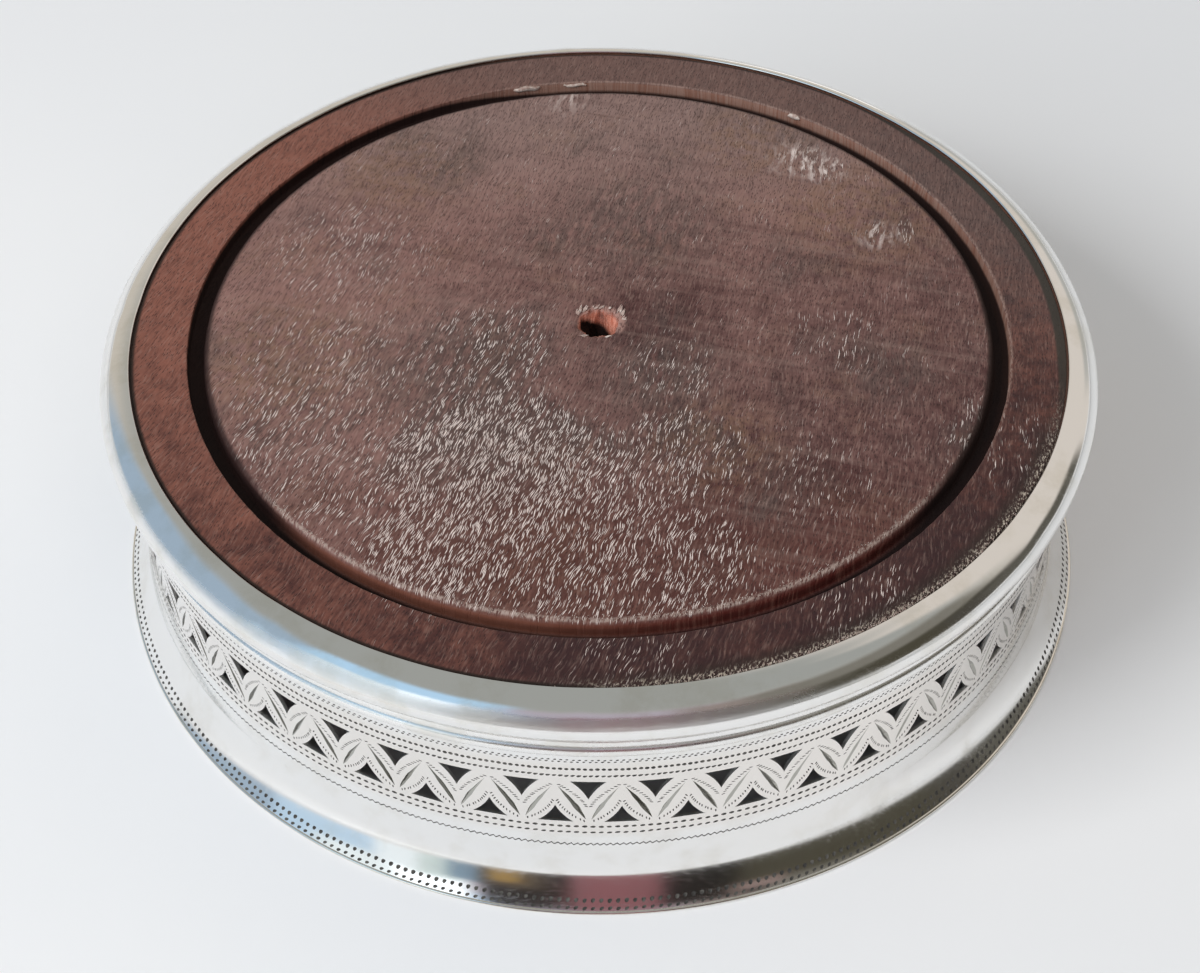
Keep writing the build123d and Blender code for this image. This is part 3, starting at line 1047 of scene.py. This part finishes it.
flange_top = OVERALL_HEIGHT - SHEET - FIT_GAP
seat_z = WELL_Z + BOSS_SEAT_DEPTH
groove_z = FACE_Z - GROOVE_DEPTH
well_rings = []
for inset in RING_INSETS:
    ring = WOOD_RADIUS - inset
    well_rings += [(ring - RING_CUT, WELL_Z), (ring + RING_CUT, WELL_Z, -RING_CUT * RING_FULLNESS, 10)]
wood_outline = profile(
    (0.0, seat_z + PIN_LENGTH),
    (PIN_RADIUS, seat_z + PIN_LENGTH),
    (PIN_RADIUS, seat_z),
    (BOSS_SEAT_RADIUS, seat_z),
    (BOSS_SEAT_RADIUS, WELL_Z),
    *well_rings,
    (WOOD_RADIUS, WELL_Z),
    (WOOD_RADIUS, WALL_TOP),
    (MOULDING_FOOT_RADIUS - SHEET - FIT_GAP, WALL_TOP),
    (MOULDING_RADIUS - SHEET - FIT_GAP, ARRIS_Z, COVE_BULGE, 6),
    (LIP_RADIUS, flange_top, DOME_BULGE, 12),
    (FACE_RADIUS, flange_top),
    (FACE_RADIUS, FACE_Z - WORN_ARRIS_DEPTH),
    (FACE_RADIUS - WORN_ARRIS_WIDTH, FACE_Z, SOFT_BULGE, 3),
    *((radius, FACE_Z) for radius in OUTER_RINGS),
    (GROOVE_OUTER + GROOVE_ARRIS, FACE_Z),
    (GROOVE_OUTER, FACE_Z - GROOVE_ARRIS, 0.035, 3),
    (GROOVE_OUTER, FACE_Z - 0.8),
    (GROOVE_OUTER, groove_z + GROOVE_ROOT),
    (GROOVE_OUTER - GROOVE_ROOT, groove_z, -ROOT_BULGE, 5),
    (GROOVE_INNER + GROOVE_ROOT, groove_z),
    (GROOVE_INNER, groove_z + GROOVE_ROOT, -ROOT_BULGE, 5),
    (GROOVE_INNER, FACE_Z - GROOVE_ROUND),
    (GROOVE_INNER - GROOVE_ROUND, FACE_Z, 0.29, 12),
    *((radius, FACE_Z) for radius in DISC_RINGS),
    *((radius, FACE_Z - drop) for radius, drop in HOLE_RINGS),
)

wood_disc = lathe("turned_wood", wood_outline, wood_material(), wood_shift, sharp=42, closed=False)
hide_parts("wood_base")


# Splinters and loose fibres of the wood

FIBRE_COUNT = 420
FIBRE_SEED = 41
SPLINTER_SEED = 8
GLUE_SEED = 5
FIBRE_THICKNESS = 0.03
FIBRE_LIMIT = LIP_RADIUS + 0.28


def around(angle, reach=1.0, height=0.0):
    return Vector((reach * math.cos(angle), reach * math.sin(angle), height))


def sliver(points, faces, base, tip, width, thick):
    """A pointed fibre of four sides from its base to its tip."""
    along = (tip - base).normalized()
    across = along.cross(Vector((0, 0, 1))).normalized() * width
    lift = Vector((0, 0, thick))
    middle = base.lerp(tip, 0.45)
    first = len(points)
    ring = [middle + across, middle + lift, middle - across, middle - lift]
    points.extend(tuple(p) for p in [base, tip, *ring])
    for step in range(4):
        here, after = first + 2 + step, first + 2 + (step + 1) % 4
        faces.append((first, after, here))
        faces.append((first + 1, here, after))


def edge_fibres():
    """Frayed fibres along the front right edge of the wood and on the worn arris of the groove."""
    chance = random.Random(FIBRE_SEED)
    points, faces = [], []
    for _ in range(FIBRE_COUNT):
        angle = math.radians(chance.triangular(-96, -32, -62))
        base = around(angle, FACE_RADIUS - abs(chance.gauss(0, 0.28)), FACE_Z - 0.02)
        way = math.radians(chance.gauss(-104, 26))
        length = chance.uniform(0.25, 0.75)
        tip = base + around(way, 1.0, chance.uniform(0.05, 0.4)) * length
        if math.hypot(tip.x, tip.y) < FIBRE_LIMIT:
            sliver(points, faces, base, tip, chance.uniform(0.03, 0.07), FIBRE_THICKNESS)
    for _ in range(FIBRE_COUNT):
        angle = math.radians(chance.triangular(-160, -25, -85))
        base = around(angle, GROOVE_INNER - GROOVE_ROUND + chance.gauss(0.05, 0.16), FACE_Z - 0.03)
        way = math.radians(chance.gauss(76, 22) + (180 if chance.random() < 0.5 else 0))
        length = chance.uniform(0.2, 0.55)
        tip = base + around(way, 1.0, chance.uniform(0.05, 0.3)) * length
        sliver(points, faces, base, tip, chance.uniform(0.03, 0.06), FIBRE_THICKNESS)
    return make_object("frayed_fibres", points, faces, [pale_wood], sharp=30)


edge_fibres()

# Splinters at the hole: x and y of the base, x and y of the tip, rise
SPLINTERS = (
    (-2.3, 2.0, -1.9, 3.4, 0.55), (-1.9, 2.35, -1.3, 3.2, 0.4), (-2.6, 1.5, -2.7, 2.6, 0.35),
    (2.5, 1.9, 3.0, 3.3, 0.6), (2.8, 1.4, 3.5, 2.5, 0.45), (3.0, 0.6, 3.6, 1.5, 0.35),
    (0.2, 2.9, 0.9, 3.2, 0.2), (-0.7, 2.85, -0.1, 3.2, 0.2), (1.2, 2.8, 1.9, 3.0, 0.25),
    (-1.5, -2.3, -2.4, -2.6, 0.18), (0.9, -2.5, 1.6, -2.9, 0.18),
)


def hole_splinters():
    """Pale splinters that stand up around the torn hole."""
    chance = random.Random(SPLINTER_SEED)
    points, faces = [], []
    for bx, by, tx, ty, rise in SPLINTERS:
        for _ in range(3):
            base = Vector((bx + chance.uniform(-0.25, 0.25), by + chance.uniform(-0.2, 0.2), FACE_Z - 0.1))
            tip = Vector((tx + chance.uniform(-0.3, 0.3), ty + chance.uniform(-0.3, 0.3), FACE_Z + rise))
            sliver(points, faces, base, base.lerp(tip, chance.uniform(0.6, 1.0)), 0.16, 0.07)
    return make_object("hole_splinters", points, faces, [pale_wood], sharp=30)


hole_splinters()

# Smears of glue: angle in degrees, half length, thickness
GLUE_SMEARS = ((101.3, 2.0, 0.42), (93.6, 1.7, 0.3), (57.6, 1.0, 0.42))


def glue_bits():
    """Pale smears of old glue left in the groove at the back."""
    chance = random.Random(GLUE_SEED)
    points, faces = [], []
    rows, sides = 7, 10
    for degrees, length, size in GLUE_SMEARS:
        angle = math.radians(degrees)
        outwards = around(angle)
        along = Vector((-math.sin(angle), math.cos(angle), 0))
        centre = around(angle, GROOVE_OUTER - 0.1, FACE_Z - 0.35)
        first = len(points)
        points.append(tuple(centre - along * length))
        for row in range(1, rows):
            tilt = math.pi * row / rows
            bent = Vector((0, 0, chance.uniform(-0.12, 0.12)))
            for step in range(sides):
                turn = TURN * step / sides
                grow = size * chance.uniform(0.7, 1.15) * math.sin(tilt)
                swell = outwards * (0.7 * math.cos(turn)) + Vector((0, 0, math.sin(turn)))
                points.append(tuple(centre - along * (length * math.cos(tilt)) + bent + swell * grow))
        points.append(tuple(centre + along * length))
        last = len(points) - 1
        for step in range(sides):
            after = (step + 1) % sides
            faces.append((first, first + 1 + after, first + 1 + step))
            for row in range(rows - 2):
                low, high = first + 1 + row * sides, first + 1 + (row + 1) * sides
                faces.append((low + step, low + after, high + after, high + step))
            top = first + 1 + (rows - 2) * sides
            faces.append((last, top + step, top + after))
    return make_object("glue_crumbs", points, faces, [pale_wood], sharp=50)


glue_bits()

# CAD nodes that are shown as they are
for node in ("centre_boss", "boss_pin"):
    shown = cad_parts[node]
    shown.data.materials.clear()
    shown.data.materials.append(silver)


# Floor, light and camera

def floor_material():
    """A pale, dull table top."""
    material, graph, surface, place = new_material("pale_floor")
    mottle = graph.ramp(graph.noise(place, 0.012, 3.0), 0.3, 0.7)
    graph.fill(surface, {
        "Base Color": graph.mix(mottle, (0.862, 0.868, 0.89), (0.88, 0.883, 0.9)),
        "Roughness": 0.8, "Specular IOR Level": 0.2,
    })
    return material


FLOOR_HALF = 3.0
FLOOR_Z = -0.00002
floor_mesh = bpy.data.meshes.new("floor")
floor_corners = [(x * FLOOR_HALF, y * FLOOR_HALF, FLOOR_Z) for x, y in ((-1, -1), (1, -1), (1, 1), (-1, 1))]
floor_mesh.from_pydata(floor_corners, [], [(0, 1, 2, 3)])
floor_mesh.materials.append(floor_material())
floor = link("floor", floor_mesh)

# Panels of the room that the silver mirrors: azimuth and half width, lowest and highest elevation and
# softness in degrees, and colour
ROOM_PANELS = (
    (180, 28, -5, 38, 14, (0.34, 0.44, 0.55)),
    (-90, 24, -5, 40, 12, (0.43, 0.39, 0.45)),
    (-134, 17, 30, 46, 9, (0.46, 0.68, 0.9)),
    (-60, 8, -5, 40, 10, (0.29, 0.24, 0.225)),
    (-30, 22, -5, 40, 10, (0.2, 0.19, 0.165)),
    (-144, 12, 0, 28, 4, (0.5, 0.66, 0.82)),
    (-134, 12, 16, 29, 5, (0.84, 0.92, 0.95)),
    (-124, 5, 14, 30, 4, (1.4, 1.5, 1.58)),
    (-123, 4, -5, 16, 3, (0.6, 0.7, 0.69)),
    (-116, 3, -5, 14, 3, (0.2, 0.29, 0.38)),
    (-131, 3, -5, 14, 3, (0.85, 0.92, 0.96)),
    (-104, 8, -5, 29, 3, (0.035, 0.03, 0.028)),
    (-108, 4, -5, 14, 4, (0.095, 0.075, 0.058)),
    (-109, 1.5, 3, 11, 2.5, (0.34, 0.22, 0.08)),
    (-86, 7, -5, 30, 5, (0.24, 0.105, 0.115)),
    (-67, 9, -5, 28, 4, (0.022, 0.02, 0.018)),
    (-34, 25, -5, 22, 7, (0.068, 0.062, 0.045)),
    (-58.5, 4, 23, 26, 2.5, (0.27, 0.2, 0.185)),
    (-6, 8, -5, 18, 10, (0.07, 0.065, 0.055)),
    (38, 26, -5, 58, 16, (0.66, 0.61, 0.56)),
    (8, 14, -5, 14, 6, (0.1, 0.095, 0.08)),
    (56, 14, -5, 9, 8, (0.42, 0.42, 0.4)),
    (79, 3, -5, 6, 4, (1.15, 1.13, 1.1)),
)
WALL_COLOUR = (0.56, 0.52, 0.46)
CEILING_COLOUR = (0.34, 0.35, 0.335)
TABLE_COLOUR = (0.74, 0.74, 0.74)
TABLE_EDGE = 2.0
TABLE_EDGE_SOFTNESS = 0.008


def sine(degrees):
    return math.sin(math.radians(degrees))


def cosine(degrees):
    return math.cos(math.radians(degrees))


def studio_world():
    """Soft room light: a grey ceiling, cream walls and a few brighter and darker panels."""
    world = bpy.data.worlds.new("studio")
    world.use_nodes = True
    graph = Graph(world.node_tree)
    way = graph.node("ShaderNodeTexCoord", {}).outputs["Generated"]
    x, y, height = graph.parts(way)
    colour = graph.mix(graph.ramp(height, 0.2, 0.85), WALL_COLOUR, CEILING_COLOUR)
    flat = graph.node("ShaderNodeVectorMath", {0: graph.joined(x, y, 0.0)}, operation="NORMALIZE").outputs[0]
    for azimuth, half, low, high, soft, panel in ROOM_PANELS:
        inputs = {0: flat, 1: (cosine(azimuth), sine(azimuth), 0.0)}
        turned = graph.node("ShaderNodeVectorMath", inputs, operation="DOT_PRODUCT").outputs["Value"]
        across = graph.ramp(turned, cosine(half + soft), cosine(half))
        upright = graph.between(height, sine(low - soft), sine(low), sine(high), sine(high + soft))
        colour = graph.mix(graph.product(across, upright), colour, panel)
    level = sine(TABLE_EDGE)
    edge = graph.ramp(height, level + TABLE_EDGE_SOFTNESS, level - TABLE_EDGE_SOFTNESS)
    colour = graph.mix(edge, colour, TABLE_COLOUR)
    graph.fill(world.node_tree.nodes["Background"], {"Color": colour, "Strength": 1.0})
    return world


bpy.context.scene.world = studio_world()

# Lamps: name, place, width, height, power, colour. All point at the origin, and no silver mirrors them.
LAMPS = (
    ("window", (-0.8, -0.78, 0.48), 0.55, 0.3, 3.2, (0.93, 0.97, 1.0)),
    ("left_fill", (-0.88, -0.51, 0.855), 0.63, 0.49, 9.8, (1.0, 0.99, 0.97)),
    ("front_fill", (0.2, -1.0, 0.85), 1.0, 0.8, 3.5, (1.0, 0.99, 0.98)),
)
for name, place, width, height, power, colour in LAMPS:
    light = bpy.data.lights.new(name, "AREA")
    light.shape = "RECTANGLE"
    light.size = width
    light.size_y = height
    light.energy = power
    light.color = colour
    lamp = link(name, light)
    lamp.location = place
    lamp.rotation_euler = (-Vector(place)).to_track_quat("-Z", "Y").to_euler()
    lamp.visible_camera = False
    lamp.visible_glossy = False

CAMERA_PLACE = Vector((0.094, -200.89, 215.57)) * MM
CAMERA_PITCH = math.radians(46.2367)
CAMERA_ROLL = math.radians(-0.2634)
camera_data = bpy.data.cameras.new("photo_view")
camera_data.sensor_fit = "HORIZONTAL"
camera_data.sensor_width = 36.0
camera_data.lens = 63.486
camera_data.clip_start = 0.01
camera_data.clip_end = 20.0
camera = link("photo_view", camera_data)
ahead = Vector((0, math.cos(CAMERA_PITCH), -math.sin(CAMERA_PITCH)))
level = Vector((1, 0, 0))
raised = level.cross(ahead)
right = math.cos(CAMERA_ROLL) * level + math.sin(CAMERA_ROLL) * raised
upright = -math.sin(CAMERA_ROLL) * level + math.cos(CAMERA_ROLL) * raised
pose = Matrix((right, upright, -ahead)).transposed().to_4x4()
pose.translation = CAMERA_PLACE
camera.matrix_world = pose
bpy.context.scene.camera = camera
bpy.context.scene.view_settings.view_transform = "Standard"
